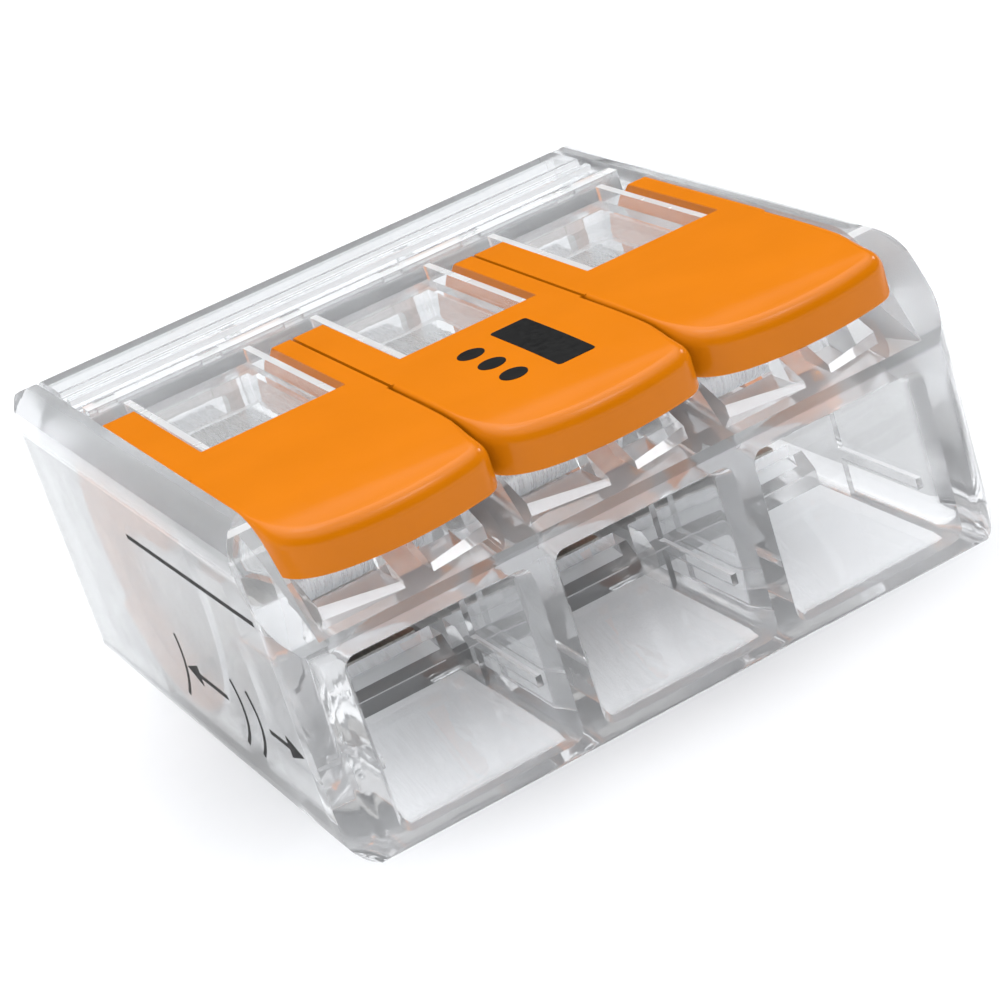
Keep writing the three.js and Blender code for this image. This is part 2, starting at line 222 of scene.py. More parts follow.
def apply_modifiers(obj):
    graph = bpy.context.evaluated_depsgraph_get()
    mesh = bpy.data.meshes.new_from_object(obj.evaluated_get(graph), depsgraph=graph)
    old = obj.data
    obj.modifiers.clear()
    obj.data = mesh
    bpy.data.meshes.remove(old)


def combine(obj, operation, *tools):
    for tool in tools:
        modifier = obj.modifiers.new("Boolean", "BOOLEAN")
        modifier.operation = operation
        modifier.solver = "MANIFOLD"
        modifier.object = tool
        apply_modifiers(obj)
        mesh = tool.data
        bpy.data.objects.remove(tool)
        bpy.data.meshes.remove(mesh)
    return obj


def cut(obj, *tools):
    return combine(obj, "DIFFERENCE", *tools)


def join(obj, *tools):
    return combine(obj, "UNION", *tools)


def meet(obj, *tools):
    return combine(obj, "INTERSECT", *tools)


def finish_mesh(obj, width, segments=2):
    """Rounds the edges, smooths curved faces, keeps flat ones flat, and turns millimetres into metres."""
    rounded_from, sharp_from = 35, 38
    if width:
        bevel = obj.modifiers.new("Bevel", "BEVEL")
        bevel.width = width
        bevel.segments = segments
        bevel.limit_method = "ANGLE"
        bevel.angle_limit = math.radians(rounded_from)
        apply_modifiers(obj)
    for polygon in obj.data.polygons:
        polygon.use_smooth = True
    obj.data.set_sharp_from_angle(angle=math.radians(sharp_from))
    weighted = obj.modifiers.new("Weighted", "WEIGHTED_NORMAL")
    weighted.keep_sharp = True
    apply_modifiers(obj)
    obj.data.transform(Matrix.Scale(MM, 4))
    return obj


def dress(obj, name, material, body=None, replaces=()):
    obj.name = name
    obj.data.name = name
    obj.data.materials.clear()
    obj.data.materials.append(material)
    if body:
        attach(obj, body)
    if replaces:
        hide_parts(*replaces)
    return obj


# ---------------------------------------------------------------- materials

def new_material(name):
    material = bpy.data.materials.new(name)
    material.use_nodes = True
    tree = material.node_tree
    shader = tree.nodes["Principled BSDF"]
    coordinates = tree.nodes.new("ShaderNodeTexCoord")
    mapping = tree.nodes.new("ShaderNodeMapping")
    mapping.inputs["Scale"].default_value = (1 / MM, 1 / MM, 1 / MM)
    tree.links.new(coordinates.outputs["Object"], mapping.inputs["Vector"])
    return material, tree, shader, mapping


def noise(tree, vector, scale, detail=3.0, roughness=0.5):
    node = tree.nodes.new("ShaderNodeTexNoise")
    node.inputs["Scale"].default_value = scale
    node.inputs["Detail"].default_value = detail
    node.inputs["Roughness"].default_value = roughness
    tree.links.new(vector.outputs["Vector"], node.inputs["Vector"])
    return node


def ramp(tree, source, stops):
    node = tree.nodes.new("ShaderNodeValToRGB")
    while len(node.color_ramp.elements) < len(stops):
        node.color_ramp.elements.new(0.5)
    for element, (position, value) in zip(node.color_ramp.elements, stops):
        element.position = position
        element.color = value if len(value) == 4 else (*value, 1)
    tree.links.new(source.outputs["Fac"], node.inputs["Fac"])
    return node


def grey(value):
    return (value, value, value)


def set_range(tree, source, low, high, socket):
    node = tree.nodes.new("ShaderNodeMapRange")
    node.inputs["From Min"].default_value = 0.3
    node.inputs["From Max"].default_value = 0.7
    node.inputs["To Min"].default_value = low
    node.inputs["To Max"].default_value = high
    tree.links.new(source.outputs["Fac"], node.inputs["Value"])
    tree.links.new(node.outputs["Result"], socket)


def add_bump(tree, shader, source, strength, height_mm):
    node = tree.nodes.new("ShaderNodeBump")
    node.inputs["Strength"].default_value = strength
    node.inputs["Distance"].default_value = height_mm * MM
    tree.links.new(source.outputs["Fac"], node.inputs["Height"])
    tree.links.new(node.outputs["Normal"], shader.inputs["Normal"])


def let_light_in(tree, shader):
    """Lamps and bounced light pass straight through the plastic, so what is inside it is lit."""
    path = tree.nodes.new("ShaderNodeLightPath")
    either = tree.nodes.new("ShaderNodeMath")
    either.operation = "MAXIMUM"
    tree.links.new(path.outputs["Is Shadow Ray"], either.inputs[0])
    tree.links.new(path.outputs["Is Diffuse Ray"], either.inputs[1])
    through = tree.nodes.new("ShaderNodeBsdfTransparent")
    through.inputs["Color"].default_value = (0.992, 0.996, 1.0, 1)
    mix = tree.nodes.new("ShaderNodeMixShader")
    tree.links.new(either.outputs["Value"], mix.inputs["Fac"])
    tree.links.new(shader.outputs["BSDF"], mix.inputs[1])
    tree.links.new(through.outputs["BSDF"], mix.inputs[2])
    tree.links.new(mix.outputs["Shader"], tree.nodes["Material Output"].inputs["Surface"])


def clear_plastic(name, clear, low, high, shade=1.0):
    """Moulded polycarbonate: clear, with faint flow marks and slightly uneven gloss. A shade below 1 darkens
    its colour as painted shade.
    """
    material, tree, shader, mapping = new_material(name)
    tint = noise(tree, mapping, 0.35, 2.0)
    stops = [(0.35, (0.968, 0.98, 0.986)), (0.65, (0.985, 0.993, 1.0))]
    # a shade below 1 scales the base colour down: painted shade, not a colour of the plastic
    colour = ramp(tree, tint, [(position, tuple(shade * v for v in value)) for position, value in stops])
    tree.links.new(colour.outputs["Color"], shader.inputs["Base Color"])
    shader.inputs["Transmission Weight"].default_value = clear
    shader.inputs["IOR"].default_value = 1.4
    flow = noise(tree, mapping, 0.8, 3.0)
    set_range(tree, flow, low, high, shader.inputs["Roughness"])
    waves = noise(tree, mapping, 1.6, 2.0)
    add_bump(tree, shader, waves, 0.08, 0.03)
    let_light_in(tree, shader)
    return material


def soften_bounces(tree, colour, shader):
    """Light that has bounced off the levers stays nearly neutral and doesn't dye the paper and the housing."""
    path = tree.nodes.new("ShaderNodeLightPath")
    share = tree.nodes.new("ShaderNodeMath")
    share.operation = "MULTIPLY"
    share.inputs[1].default_value = 0.85
    tree.links.new(path.outputs["Is Diffuse Ray"], share.inputs[0])
    mix = tree.nodes.new("ShaderNodeMixRGB")
    mix.inputs["Color2"].default_value = (0.55, 0.55, 0.55, 1)
    tree.links.new(share.outputs["Value"], mix.inputs["Fac"])
    tree.links.new(colour.outputs["Color"], mix.inputs["Color1"])
    tree.links.new(mix.outputs["Color"], shader.inputs["Base Color"])


def orange_plastic():
    """Satin moulded orange with a fine spark-eroded grain and slight colour drift."""
    material, tree, shader, mapping = new_material("lever_orange")
    drift = noise(tree, mapping, 0.5, 3.0)
    colour = ramp(tree, drift, [(0.3, (0.735, 0.202, 0.001)), (0.7, (0.77, 0.214, 0.002))])
    soften_bounces(tree, colour, shader)
    shader.inputs["Specular IOR Level"].default_value = 0.2
    gloss = noise(tree, mapping, 3.0, 3.0)
    set_range(tree, gloss, 0.16, 0.2, shader.inputs["Roughness"])
    grain = noise(tree, mapping, 14.0, 2.0)
    add_bump(tree, shader, grain, 0.06, 0.01)
    return material


def rolled_metal(name, dark, light, low, high, stretch):
    """Rolled strip: fine streaks along one direction over a slightly cloudy surface."""
    material, tree, shader, mapping = new_material(name)
    streaks = tree.nodes.new("ShaderNodeMapping")
    streaks.inputs["Scale"].default_value = stretch
    tree.links.new(mapping.outputs["Vector"], streaks.inputs["Vector"])
    lines = noise(tree, streaks, 1.0, 4.0, 0.6)
    colour = ramp(tree, lines, [(0.3, dark), (0.7, light)])
    tree.links.new(colour.outputs["Color"], shader.inputs["Base Color"])
    shader.inputs["Metallic"].default_value = 1.0
    set_range(tree, lines, low, high, shader.inputs["Roughness"])
    add_bump(tree, shader, lines, 0.08, 0.01)
    return material


def ink():
    """Pad-printed black, slightly thin in places."""
    material, tree, shader, mapping = new_material("print_black")
    cover = noise(tree, mapping, 6.0, 3.0)
    colour = ramp(tree, cover, [(0.3, grey(0.004)), (0.7, grey(0.01))])
    tree.links.new(colour.outputs["Color"], shader.inputs["Base Color"])
    shader.inputs["Specular IOR Level"].default_value = 0.1
    set_range(tree, cover, 0.45, 0.6, shader.inputs["Roughness"])
    return material


CLEAR = clear_plastic("clear_housing", 0.86, 0.0, 0.02)
# Rougher, spark-eroded finish; its base colour, darkened to 0.58, is painted shade that makes the side walls
# darker than the lamps leave them
SHADED_SATIN = clear_plastic("clear_housing_painted_shade_satin", 0.84, 0.16, 0.26, 0.58)
RIM = clear_plastic("clear_rim", 0.45, 0.2, 0.3)
CLEAR_COVER = clear_plastic("clear_cover", 0.88, 0.0, 0.03)
ORANGE = orange_plastic()
INK = ink()
COPPER = rolled_metal("tinned_copper", (0.48, 0.46, 0.43), (0.68, 0.66, 0.62), 0.28, 0.45, (14, 1.2, 1.2))
STEEL = rolled_metal("spring_steel", (0.40, 0.41, 0.42), (0.62, 0.63, 0.64), 0.2, 0.36, (16, 0.8, 0.8))


# ---------------------------------------------------------------- housing

def shell_blank():
    """The housing's outer shape, still solid: its side view met with its plan and its front view."""
    length = math.hypot(SLOPE_TOP_Y - FRONT, HEIGHT - FACE_HEIGHT)
    slope = ((SLOPE_TOP_Y - FRONT) / length, (HEIGHT - FACE_HEIGHT) / length)
    top_blend, foot_blend, foot, rear_foot, rear_corner = 1.0, 0.5, 0.2, 0.4, 1.7
    outline = arc(FRONT + foot, foot, foot, 180, 270, 5)
    outline += arc(REAR - rear_foot, rear_foot, rear_foot, 270, 360, 5)
    outline += arc(REAR - REAR_RADIUS, HEIGHT - REAR_RADIUS, REAR_RADIUS, 0, 90, 8)
    outline += curve((SLOPE_TOP_Y + top_blend, HEIGHT), (SLOPE_TOP_Y, HEIGHT),
                     (SLOPE_TOP_Y - slope[0] * top_blend, HEIGHT - slope[1] * top_blend))
    outline += curve((FRONT + slope[0] * foot_blend, FACE_HEIGHT + slope[1] * foot_blend),
                     (FRONT, FACE_HEIGHT), (FRONT, FACE_HEIGHT - foot_blend))
    plan = (arc(HALF_WIDTH - rear_corner, REAR - rear_corner, rear_corner, 0, 90, 10)
            + arc(rear_corner - HALF_WIDTH, REAR - rear_corner, rear_corner, 90, 180, 10)
            + arc(EDGE_RADIUS - HALF_WIDTH, FRONT + EDGE_RADIUS, EDGE_RADIUS, 180, 270)
            + arc(HALF_WIDTH - EDGE_RADIUS, FRONT + EDGE_RADIUS, EDGE_RADIUS, 270, 360))
    section = rounded_rectangle(-HALF_WIDTH, HALF_WIDTH, 0, HEIGHT, EDGE_RADIUS)
    blank = prism(outline, "x", -HALF_WIDTH, HALF_WIDTH)
    return meet(blank, prism(plan, "z", 0, HEIGHT), prism(section, "y", FRONT, REAR))


def lever_bay():
    """What is cut away under the noses, from the lip up the ledge to the floor of the bay."""
    above = HEIGHT + BEYOND
    lip_rear = FRONT + 0.1
    ramp_knee, ramp_top_y = (-7.0, 6.6), -6.4
    rear = SLOT_FRONT + 0.5
    outline = [(FRONT - BEYOND, LIP_TOP), (lip_rear, LIP_TOP), ramp_knee, (ramp_top_y, BAY_FLOOR),
               (rear, BAY_FLOOR), (rear, above), (FRONT - BEYOND, above)]
    return prism(outline, "x", -CAVITY_HALF, CAVITY_HALF)


def saddle_web(x0, x1):
    """A wall between two channels, hollowed into a saddle that the cam turns on."""
    front, low, high = FRONT_BLOCK_REAR - OVERLAP, FLOOR - OVERLAP, BAY_UNDER + OVERLAP
    outline = [(front, low), (SADDLE["rear"], low), (SADDLE["rear"], SADDLE["rear_top"]), (SLOT_FRONT, high),
               (front, high)]
    room = circle(PIVOT.y, PIVOT.z, SADDLE["radius"], 144)
    return cut(prism(outline, "x", x0, x1), prism(room, "x", x0 - BEYOND, x1 + BEYOND))


def window_block(x):
    """The hollow block that fills a lever's window, with a sunk top inside a narrow rim."""
    left, right = x + BLOCK["left"], x + BLOCK["right"]
    front, rear, top = BLOCK["front"], BLOCK["rear"], BLOCK["top"]
    wall, ceiling, sunk, rim = 0.42, 0.85, 0.4, RIM_WIDTH
    roof = block(left, right, SLOT_FRONT - 2 * OVERLAP, rear, BAY_UNDER, BAY_FLOOR)
    body = block(left, right, front, rear, BAY_UNDER + 0.02, top)
    hollow = block(left + wall, right - wall, front + wall, rear - wall, BAY_UNDER - BEYOND, top - ceiling)
    recess = block(left + rim, right - rim, front + rim, rear + BEYOND, top - sunk, top + BEYOND)
    return cut(join(roof, body), hollow, recess)


def wire_entry(x):
    """The straight channel for the wire, and the funnel that widens towards the front face."""
    corner, softer, past_block = 0.2, 0.6, 0.3
    deep = prism(rounded_rectangle(x - ENTRY_HALF, x + ENTRY_HALF, FLOOR, ENTRY_TOP, corner), "y",
                 FRONT - BEYOND, FRONT_BLOCK_REAR + past_block)
    rings = []
    for depth, grow in ((-0.2, 0.36), (0, 0.26), (0.25, 0.12), (0.7, 0.0)):
        rings.append((FRONT + depth, rounded_rectangle(
            x - ENTRY_HALF - grow, x + ENTRY_HALF + grow, FLOOR - softer * grow, ENTRY_TOP + grow,
            corner + softer * grow)))
    return deep, loft("funnel", rings, "y")


def entry_details(x):
    """Sill that lifts the bare wire onto the bar, and a guide rib along each side of the channel."""
    low, high, front, rear = FLOOR - OVERLAP, 1.5, -3.4, -2.15
    ramp_foot, ramp_top_y = 1.05, -2.9
    sill = prism([(front, low), (rear, low), (rear, high), (ramp_top_y, high), (front, ramp_foot)], "x",
                 x - CHANNEL_HALF, x + CHANNEL_HALF)
    half_rib, rib_low, rib_high = 0.16, 1.75, 2.05
    rib_front = FRONT_BLOCK_REAR - 3.2
    ribs = [block(x + side - half_rib, x + side + half_rib, rib_front, front, rib_low, rib_high)
            for side in (-ENTRY_HALF, ENTRY_HALF)]
    return [sill] + ribs


def ledge_pockets(x):
    """Two pockets under a nose: a deep wedge and a shallow one, with a rib between them."""
    above = 7.6

    def end(offset, front, edge_drop, valley, valley_drop, rear):
        return (x + offset, [(front, above), (front + 0.1, LIP_TOP - edge_drop),
                             (valley, LIP_TOP - valley_drop), (rear, above)])

    deep = [end(-2.3, -8.3, 0.1, -7.6, 0.9, -6.2), end(-0.3, -8.7, 0.05, -7.4, 0.5, -6.3)]
    shallow = [end(0.5, -8.6, 0.05, -7.3, 0.2, -6.3), end(2.1, -8.3, 0.1, -7.5, 0.7, -6.2)]
    return loft("deep", deep, "x"), loft("shallow", shallow, "x")


def housing():
    """The shell with its channels, webs, window blocks and wire entries, open at the rear."""
    inner = CAVITY_HALF
    body = cut(shell_blank(), lever_bay(),
               block(-inner, inner, FRONT_BLOCK_REAR, REAR + BEYOND, FLOOR, BAY_UNDER),
               block(-inner, inner, SLOT_FRONT, REAR + BEYOND, FLOOR, HEIGHT + BEYOND))
    web = PITCH / 2 - CHANNEL_HALF
    spans = [(-inner - OVERLAP, -inner + web), (inner - web, inner + OVERLAP)]
    spans += [(middle - web, middle + web) for middle in (-PITCH / 2, PITCH / 2)]
    join(body, *[saddle_web(x0, x1) for x0, x1 in spans])
    for x in POLE_X.values():
        join(body, window_block(x))
        cut(body, *wire_entry(x), *ledge_pockets(x))
        join(body, *entry_details(x))
    return body


def eroded_and_shaded_faces(obj):
    """Where the mould is spark-eroded the plastic is rougher: side walls, rims round the windows and the lip of
    the entries. Side walls and lip also get a darker base colour, which is painted shade.
    """
    obj.data.materials.append(SHADED_SATIN)
    obj.data.materials.append(RIM)
    shaded_satin, rim = 1, 2
    for polygon in obj.data.polygons:
        x, y, z = polygon.center / MM
        side_wall = abs(polygon.normal.x) > 0.999 and abs(x) > CAVITY_HALF - 0.1
        window_rim = polygon.normal.z > 0.9 and abs(z - BLOCK["top"]) < 0.05 and y < COVER_LOW.y
        lip = polygon.normal.z > 0.3 and y < FRONT + 0.6 and FACE_HEIGHT - 0.6 < z < LIP_TOP + 0.1
        # side walls and lip get the darker material: painted shade
        if side_wall:
            polygon.material_index = shaded_satin
        elif window_rim:
            polygon.material_index = rim
        elif lip:
            polygon.material_index = shaded_satin
    return obj


def pale_bar_and_shaded_faces(obj):
    """The cover as well: the raised bar along its front gets the milky rim plastic, and its front face and
    rounded rear edge the rougher plastic with the darker base colour, which is painted shade.
    """
    obj.data.materials.append(RIM)
    obj.data.materials.append(SHADED_SATIN)
    rim, shaded_satin = 1, 2
    for polygon in obj.data.polygons:
        _, y, z = polygon.center / MM
        bar_top = polygon.normal.z > 0.9 and y < COVER_LOW.y + 0.52 and z > HEIGHT - 0.02
        front_face = polygon.normal.y < -0.9 and y < COVER_LOW.y + 0.05
        rear_edge = polygon.normal.z > 0.1 and y > REAR - 1.1
        if bar_top:
            polygon.material_index = rim
        elif front_face or rear_edge:
            # front face and rear edge get the darker material: painted shade
            polygon.material_index = shaded_satin
    return obj


def rear_cover():
    """Cover with a notched bar, two fine grooves and two steps along its top, and two webs inside."""
    half, low = COVER_HIGH.x, COVER_LOW.z
    front, top, skin, wall = COVER_LOW.y, HEIGHT, 7.6, 8.4
    profile = [(0.5, 0), (0.54, COVER_STEP)]
    for groove in (0.78, 1.18):
        profile += [(groove, COVER_STEP), (groove + 0.07, 0.42), (groove + 0.14, COVER_STEP)]
    profile += [(1.6, COVER_STEP), (1.64, 0.06), (1.85, 0.06), (1.9, 0.18), (2.3, 0.18), (2.35, 0.02), (2.5, 0)]
    outline = [(front, skin), (front, top)] + [(front + along, top - drop) for along, drop in profile]
    outline += arc(REAR - REAR_RADIUS, top - REAR_RADIUS, REAR_RADIUS, 85, 0, 10)
    outline += [(REAR, low), (wall, low), (wall, skin)]
    cover = prism(outline, "x", -half, half)
    half_web, web_front, web_rear, web_top = 0.15, wall - 0.8, wall + 0.3, skin - 0.4
    for middle in (-PITCH / 2, PITCH / 2):
        join(cover, block(middle - half_web, middle + half_web, web_front, web_rear, low, web_top))
    half_notch, notch_front, notch_rear, notch_floor = 0.3, front + 0.34, front + 0.6, top - 0.26
    for x in POLE_X.values():
        for offset in (-2.05, 1.05):
            middle = x + offset
            cut(cover, block(middle - half_notch, middle + half_notch, notch_front, notch_rear, notch_floor,
                             top + BEYOND))
    return cover


# ---------------------------------------------------------------- levers

def plate_outline(sag, corner):
    """Half of the finger plate in plan, from the middle of the nose round the corner and back."""
    steps = 12
    bow = (LEVER_HALF ** 2 + sag ** 2) / (2 * sag)
    spread = math.asin((LEVER_HALF - corner) / bow)
    turns = [spread * i / steps for i in range(steps + 1)]
    points = [(bow * math.sin(turn), NOSE_FRONT + bow * (1 - math.cos(turn))) for turn in turns]
    side = NOSE_FRONT + sag + corner
    points += curve(points[-1], (LEVER_HALF, NOSE_FRONT + sag), (LEVER_HALF, side), 10)[1:]
    start, rear = -7.2, WINDOW["front"] + 0.5
    points += [(LEVER_HALF, side + (start - side) * i / 2) for i in (1, 2)]
    points += [(LEVER_HALF, start + (rear - start) * i / steps) for i in range(1, steps + 1)]
    return points


def inward(points):
    """Unit directions towards the inside of the plate, one for each point of its outline."""
    mirrored = [(-points[1][0], points[1][1])] + points
    normals = []
    for i in range(1, len(mirrored)):
        before, after = mirrored[i - 1], mirrored[min(i + 1, len(mirrored) - 1)]
        along = Vector((after[0] - before[0], after[1] - before[1])).normalized()
        normals.append(Vector((-along.y, along.x)))
    return normals


def smooth_step(low, high, value):
    """0 below the low value, 1 above the high one, and an even curve between them."""
    t = min(max((value - low) / (high - low), 0), 1)
    return t * t * (3 - 2 * t)


def crown(y):
    """Height of the plate's top, which falls away towards the nose."""
    start, drop = -4.5, 0.22
    t = max(start - y, 0) / (start - NOSE_FRONT)
    return LEVER_TOP - drop * t * t


def under(y):
    """Height of the plate's underside, which hangs lower at the nose."""
    return NOSE_BOTTOM + (PLATE_UNDER - NOSE_BOTTOM) * smooth_step(-7.6, -7.1, y)


def plate(name):
    """Finger plate: rings from the underside, up the side and over the rounded edge, closed across."""
    outlines = {1: plate_outline(0.5, 0.55), -1: plate_outline(0.75, 0.95)}
    edge, more_across, more_upright = 0.1, 0.26, 0.34
    foot, foot_middle, steps = 0.1, 0.03, 7
    layers = [(foot, 0.0, "low"), (foot_middle, foot_middle, "low"), (0.0, foot, "low")]
    turns = [math.pi / 2 * i / steps for i in range(steps + 1)]
    layers += [(1 - math.cos(turn), 1 - math.sin(turn), "high") for turn in turns]
    bm = bmesh.new()
    rings = []
    for inset, height, kind in layers:
        ring = []
        for sign, points in outlines.items():
            verts = []
            for (x, y), normal in zip(points, inward(points)):
                nose = 1 - smooth_step(-8.2, -6.4, y)
                across, upright = edge + more_across * nose, edge + more_upright * nose
                if kind == "low":
                    place, z = Vector((x, y)) + normal * inset, under(y) + height
                else:
                    place, z = Vector((x, y)) + normal * inset * across, crown(y) - height * upright
                verts.append(bm.verts.new((sign * place.x, place.y, z)))
            ring.append(verts)
        ring[1][0] = ring[0][0]
        rings.append(ring)
    for low, high in zip(rings, rings[1:]):
        for side in (0, 1):
            for i in range(len(low[side]) - 1):
                bm.faces.new((low[side][i], low[side][i + 1], high[side][i + 1], high[side][i]))
    for right, left in (rings[0], rings[-1]):
        bm.faces.new((right[0], right[1], left[1]))
        for i in range(1, len(right) - 1):
            bm.faces.new((right[i], right[i + 1], left[i + 1], left[i]))
    rear = [right[-1] for right, left in rings] + [left[-1] for right, left in reversed(rings)]
    bm.faces.new(rear)
    for vert in [vert for vert in bm.verts if not vert.link_faces]:
        bm.verts.remove(vert)
    return add_object(name, bm)


def leg_point(along, lift=0.0):
    """A point on the middle line of the clamping leg, in (Y, Z), with the leg lifted by some degrees."""
    angle = math.radians(LEG_DEG + lift)
    return Vector((BEND.y + BEND_RADIUS * math.sin(angle) + along * math.cos(angle),
                   BEND.z - BEND_RADIUS * math.cos(angle) + along * math.sin(angle)))


def turned(point, degrees):
    """A point in (Y, Z), turned about the lever's pivot."""
    pivot = Vector((PIVOT.y, PIVOT.z))
    angle = math.radians(degrees)
    d = point - pivot
    return pivot + Vector((d.x * math.cos(angle) - d.y * math.sin(angle),
                           d.x * math.sin(angle) + d.y * math.cos(angle)))


def notch_path(steps=16):
    """The spring's tab seen from the lever as it opens."""
    return [turned(leg_point(TAB_MIDDLE, LEG_SWING * i / steps), OPEN_DEG * i / steps)
            for i in range(steps + 1)]


def notch(x0, x1):
    """Room for the spring's tab: a channel along its path, round at both ends."""
    path, radius = notch_path(), NOTCH_RADIUS
    left, right = both_sides(path, radius)
    channel = prism(right + left[::-1], "x", x0, x1)
    for point in (path[0], path[-1]):
        join(channel, prism(circle(point.x, point.y, radius, 24), "x", x0, x1))
    return channel


def cam(x0, x1):
    """The round part of an arm, below the plate, with the notch that lifts the spring's tab."""
    low_from, low_to, high_to, hub_top = 246, 325, 50, 6.5
    outline = arc(PIVOT.y, PIVOT.z, CAM_RADIUS, low_from, low_to, 24)
    outline += arc(PIVOT.y, PIVOT.z, ARM_RADIUS, low_to - 360, high_to, 24)
    outline += [(PIVOT.y, hub_top)]
    outline += [tuple(point) for point in reversed(notch_path())]
    return cut(prism(outline, "x", x0, x1), notch(x0 - BEYOND, x1 + BEYOND))


def arm(x0, x1):
    """The narrow strip beside the window, which joins the plate to its cam."""
    front, under_front = -3.2, -1.8
    top = math.degrees(math.asin((LEVER_TOP - PIVOT.z) / ARM_RADIUS))
    bottom = math.degrees(math.asin((ARM_UNDER - PIVOT.z) / ARM_RADIUS))
    outline = arc(PIVOT.y, PIVOT.z, ARM_RADIUS, bottom, top, 12)
    outline += [(front, LEVER_TOP), (front, PLATE_UNDER), (under_front, ARM_UNDER)]
    return prism(outline, "x", x0, x1)


def lever(pole):
    half, left_cam = LEVER_HALF, -2.1
    below, above, rear = ARM_UNDER - BEYOND, LEVER_TOP + BEYOND, PIVOT.y + ARM_RADIUS + BEYOND
    opening = [(WINDOW["undercut"], below), (rear, below), (rear, above), (WINDOW["front"], above),
               (WINDOW["front"], LEVER_TOP), (WINDOW["undercut"], PLATE_UNDER)]
    body = join(plate("lever"), arm(-half, WINDOW["left"]), arm(WINDOW["right"], half),
                cam(-half, left_cam), cam(WINDOW["right"], half))
    cut(body, prism(opening, "x", WINDOW["left"], WINDOW["right"]))
    body.data.transform(Matrix.Translation((POLE_X[pole], 0, 0)))
    return body


# ---------------------------------------------------------------- springs and bar

def ribbon(name, path, half_widths):
    """A strip of constant thickness along a path in (Y, Z), with its own half width at each point."""
    bm = bmesh.new()
    sections = []
    for high, low, half in zip(*both_sides(path, STRIP / 2), half_widths):
        corners = [(-half, low), (half, low), (half, high), (-half, high)]
        sections.append([bm.verts.new((x, *point)) for x, point in corners])
    bm.faces.new(sections[0])
    bm.faces.new(sections[-1])
    for a, b in zip(sections, sections[1:]):
        for i in range(4):
            j = (i + 1) % 4
            bm.faces.new((a[i], a[j], b[j], b[i]))
    return add_object(name, bm)


def spring(pole):
    """Hook over the bar, contact side, bend and clamping leg with its two tabs, as one strip."""
    hook_y, hook_radius, narrow, wide, tab = 6.3, 0.5, 1.05, 1.7, 2.6
    shoulder, half_tab, tip_narrowing = 0.04, 0.25, 0.12
    hook_z = BEND.z + BEND_RADIUS - hook_radius
    hook = [Vector((hook_y + hook_radius, hook_z - 0.6 + 0.15 * i)) for i in range(4)]
    hook += [Vector(p) for p in arc(hook_y, hook_z, hook_radius, 0, 90, 10)]
    top_z = BEND.z + BEND_RADIUS
    narrow_y = 5.2
    path = hook + [Vector((narrow_y + shoulder, top_z))]
    widths = [narrow] * len(path)
    contact = [Vector((narrow_y + (BEND.y - narrow_y) * i / 14, top_z)) for i in range(15)]
    bend = [Vector(p) for p in arc(BEND.y, BEND.z, BEND_RADIUS, 90, 270 + LEG_DEG, 20)][1:]
    path += contact + bend
    widths += [wide] * (len(contact) + len(bend))
    beside = half_tab + shoulder
    stops = [(0.5, wide), (1.5, wide), (2.5, wide), (3.5, wide), (TAB_MIDDLE - beside, wide),
             (TAB_MIDDLE - half_tab, tab), (TAB_MIDDLE + half_tab, tab), (TAB_MIDDLE + beside, wide),
             (LEG_END - 0.2, wide), (LEG_END, wide - tip_narrowing)]
    path += [leg_point(along) for along, _ in stops]
    widths += [half for _, half in stops]
    strip = ribbon("spring", path, widths)
    strip.data.transform(Matrix.Translation((POLE_X[pole], 0, 0)))
    return strip


def current_bar():
    """Cross strip with a tongue and an upright frame for each wire; the spring hooks into the upper window."""
    strip, frame_depth, cross_front, tongue_rear, half = 0.6, 0.5, 3.4, 3.9, 1.75
    low, high, rear = BAR_LOW.z, BAR_LOW.z + strip, BAR_HIGH.y
    before, behind = 5, 7
    bar = block(BAR_LOW.x, BAR_HIGH.x, cross_front, rear, low, high)
    for x in POLE_X.values():
        tongue = block(x - half, x + half, BAR_LOW.y, tongue_rear, low, high)
        upright = block(x - half, x + half, rear - frame_depth, rear, low, BAR_HIGH.z)
        wire_window = prism(rounded_rectangle(x - 1.2, x + 1.2, high, 4.3, 0.3, 5), "y", before, behind)
        hook_window = prism(rounded_rectangle(x - 1.35, x + 1.35, 5.4, 6.4, 0.15, 4), "y", before, behind)
        join(bar, tongue, cut(upright, wire_window, hook_window))
    return bar


# ---------------------------------------------------------------- printed marks

def stroke(points, width):
    """A flat line of even width through the points, as an outline in (u, v)."""
    left, right = both_sides([Vector(point) for point in points], width / 2)
    return left + right[::-1]


def print_layer(name, outlines, axis, low, high):
    """Outlines printed as a thin film between two heights along the axis."""
    place = PLACES[axis]
    bm = bmesh.new()
    for points in outlines:
        rings = [[bm.verts.new(place(u, v, w)) for u, v in points] for w in (low, high)]
        bm.faces.new(rings[0])
        bm.faces.new(rings[1])
        for i in range(len(points)):
            j = (i + 1) % len(points)
            bm.faces.new((rings[0][i], rings[0][j], rings[1][j], rings[1][i]))
    return add_object(name, bm)


def side_marks():
    """Stripping guide on the left wall: two arrows with a break between them, and a ruled line above."""
    line, head, half_head, proud, sunk = 0.13, 0.9, 0.3, 0.006, 0.004
    level, rear_tip, front_tip = 2.85, -0.75, -8.25
    rear_neck, front_neck = rear_tip - head, front_tip + head
    outlines = [stroke([(0.4, 6.25), (-8.1, 6.35)], line),
                stroke(curve((-0.6, 3.75), (-0.9, 2.8), (0.1, 1.75)), line),
                [(rear_tip, level), (rear_neck, level - half_head), (rear_neck, level + half_head)],
                stroke([(rear_neck, level), (-3.5, level)], line),
                stroke(curve((-4.3, 3.65), (-5.0, 2.7), (-3.9, 1.7)), line),
                stroke(curve((-5.3, 3.65), (-6.0, 2.7), (-4.9, 1.7)), line),
                stroke([(-6.2, level), (front_neck, level)], line),
                [(front_tip, level), (front_neck, level + half_head), (front_neck, level - half_head)]]
    return print_layer("print", outlines, "x", -HALF_WIDTH - proud, -HALF_WIDTH + sunk)


